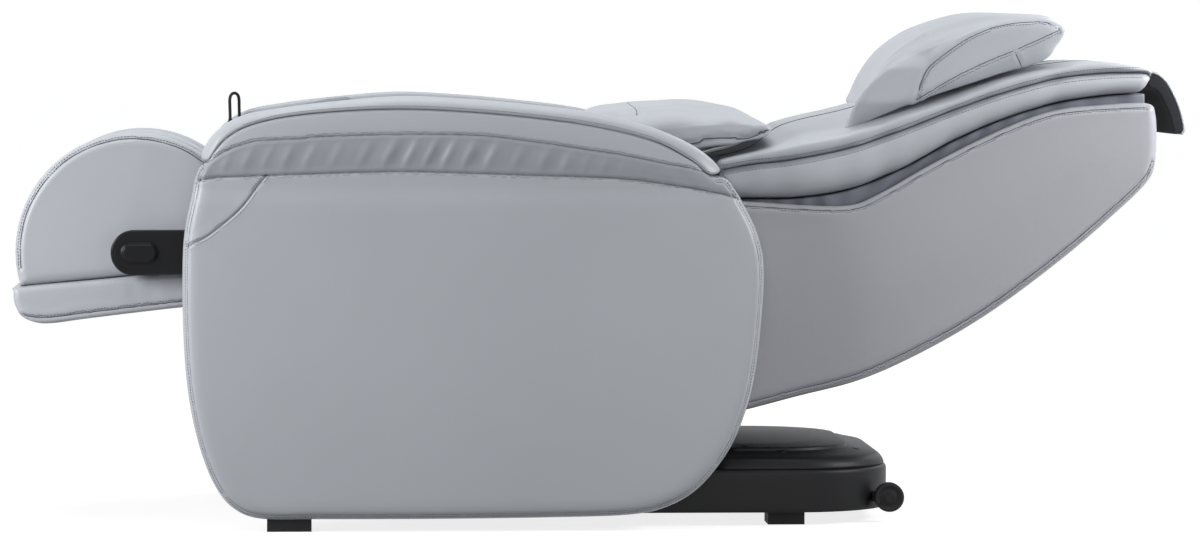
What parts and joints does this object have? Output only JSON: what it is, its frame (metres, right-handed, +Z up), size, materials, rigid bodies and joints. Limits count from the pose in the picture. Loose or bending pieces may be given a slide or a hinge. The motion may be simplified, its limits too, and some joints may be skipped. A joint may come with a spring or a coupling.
{
  "type": "massage chair",
  "caption": "Reclining massage chair with padded arms, head pillow, flip-over calf and foot rest, handset and a wheeled black base.",
  "frame": {"origin": "on the floor under the centre of the chair's plan box, reclined with the ottoman raised", "axes": "+X from the feet to the head, +Y to the sitter's right hand, +Z up"},
  "size_m": [1.8084, 0.75, 0.7844],
  "materials": {
    "steel": "satin dark grey paint",
    "board": "raw plywood",
    "leather": "pale blue-grey grained leatherette",
    "shell_leather": "mid blue-grey grained leatherette",
    "felt": "black brushed lining",
    "rubber": "matt black rubber",
    "plastic": "fine-grained black moulding",
    "motor": "dark grey",
    "button_red": "satin",
    "button_grey": "satin"
  },
  "bodies": {
    "root": {"chassis_frame": "steel", "left_side_plate": "steel", "right_side_plate": "steel", "seat_pan": "board", "seat_cushion": "leather", "left_arm_board": "board", "right_arm_board": "board", "left_arm_panel": "leather", "right_arm_panel": "leather", "left_armrest_pad": "leather", "right_armrest_pad": "leather", "arm_bolts": "steel", "front_feet": "rubber", "rear_feet": "rubber", "base_skirt": "plastic", "base_cover": "plastic", "power_unit": "motor", "mains_inlet": "plastic", "wheel_brackets": "steel", "back_hinge_pins": "steel", "lift_gearmotor": "motor", "handset_cradle": "shell_leather", "handset": "plastic", "cord_relief": "rubber", "handset_cord": "rubber"},
    "rocker": {"mains_rocker": "rubber"},
    "left_transport_wheel": {"left_wheel": "rubber"},
    "right_transport_wheel": {"right_wheel": "rubber"},
    "backrest": {"back_frame": "steel", "back_shell": "shell_leather", "back_pad": "leather", "back_flap": "felt", "head_pillow": "leather", "massage_rails": "steel"},
    "lumbar": {"lumbar_cushion": "leather"},
    "carriage": {"massage_carriage": "motor", "carriage_motor": "motor"},
    "kneader": {"kneading_shaft": "steel", "kneading_rollers": "rubber"},
    "actuator": {"recline_tube": "motor", "recline_motor": "motor"},
    "actuator_rod": {"recline_rod": "steel"},
    "ottoman_carrier": {"left_bracket": "plastic", "right_bracket": "plastic", "pivot_caps": "plastic", "lift_shaft": "steel"},
    "ottoman": {"ottoman_core": "leather", "left_calf_wall": "leather", "middle_calf_wall": "leather", "right_calf_wall": "leather", "foot_slab": "leather", "ottoman_pins": "steel"},
    "power_key": {"button_power": "button_red"},
    "up_key": {"button_up": "button_grey"},
    "down_key": {"button_down": "button_grey"},
    "program_key": {"button_program": "button_grey"},
    "heat_key": {"button_heat": "button_grey"}
  },
  "joints": [
    {"name": "back_recline", "type": "hinge", "parent": "root", "child": "backrest", "pos_m": [0.10917, 0, 0.33], "axis": [0, -1, 0], "range_deg": [0, 50]},
    {"name": "lumbar_ride", "type": "slide", "parent": "backrest", "child": "lumbar", "axis": [0.891, 0, 0.454], "range_m": [0, 0.141]},
    {"name": "massage_travel", "type": "slide", "parent": "backrest", "child": "carriage", "axis": [0.8988, 0, 0.4384], "range_m": [0, 0.24]},
    {"name": "kneading_turn", "type": "hinge", "parent": "carriage", "child": "kneader", "pos_m": [0.33507, 0, 0.40707], "axis": [0, 1, 0], "continuous": true},
    {"name": "actuator_tilt", "type": "hinge", "parent": "root", "child": "actuator", "pos_m": [-0.26083, 0, 0.15], "axis": [0, -1, 0], "range_deg": [0, 8.4]},
    {"name": "actuator_stroke", "type": "slide", "parent": "actuator", "child": "actuator_rod", "axis": [0.987, 0, 0.1607], "range_m": [0, 0.082]},
    {"name": "ottoman_lift", "type": "hinge", "parent": "root", "child": "ottoman_carrier", "pos_m": [-0.49883, 0, 0.42], "axis": [0, -1, 0], "range_deg": [0, 75]},
    {"name": "ottoman_flip", "type": "hinge", "parent": "ottoman_carrier", "child": "ottoman", "pos_m": [-0.71883, 0, 0.417], "axis": [0, -1, 0], "range_deg": [0, 180]},
    {"name": "left_wheel_roll", "type": "hinge", "parent": "root", "child": "left_transport_wheel", "pos_m": [0.43617, -0.228, 0.039], "axis": [0, 1, 0], "continuous": true},
    {"name": "right_wheel_roll", "type": "hinge", "parent": "root", "child": "right_transport_wheel", "pos_m": [0.43617, 0.228, 0.039], "axis": [0, 1, 0], "continuous": true},
    {"name": "mains_rocker_tip", "type": "hinge", "parent": "root", "child": "rocker", "pos_m": [0.43717, 0.017, 0.052], "axis": [0, 1, 0], "range_deg": [0, 14]},
    {"name": "power_press", "type": "slide", "parent": "root", "child": "power_key", "axis": [0, 1, 0], "range_m": [0, 0.0012], "stiffness_N_per_m": 300, "springref_m": -0.0004},
    {"name": "up_press", "type": "slide", "parent": "root", "child": "up_key", "axis": [0, 1, 0], "range_m": [0, 0.0012], "stiffness_N_per_m": 300, "springref_m": -0.0004},
    {"name": "down_press", "type": "slide", "parent": "root", "child": "down_key", "axis": [0, 1, 0], "range_m": [0, 0.0012], "stiffness_N_per_m": 300, "springref_m": -0.0004},
    {"name": "program_press", "type": "slide", "parent": "root", "child": "program_key", "axis": [0, 1, 0], "range_m": [0, 0.0012], "stiffness_N_per_m": 300, "springref_m": -0.0004},
    {"name": "heat_press", "type": "slide", "parent": "root", "child": "heat_key", "axis": [0, 1, 0], "range_m": [0, 0.0012], "stiffness_N_per_m": 300, "springref_m": -0.0004}
  ],
  "couplings": [
    {"joint": "lumbar_ride", "follows": "back_recline", "m_per_rad": 0.16043},
    {"joint": "actuator_tilt", "follows": "back_recline", "ratio": 0.1648},
    {"joint": "actuator_stroke", "follows": "back_recline", "m_per_rad": 0.09287}
  ]
}
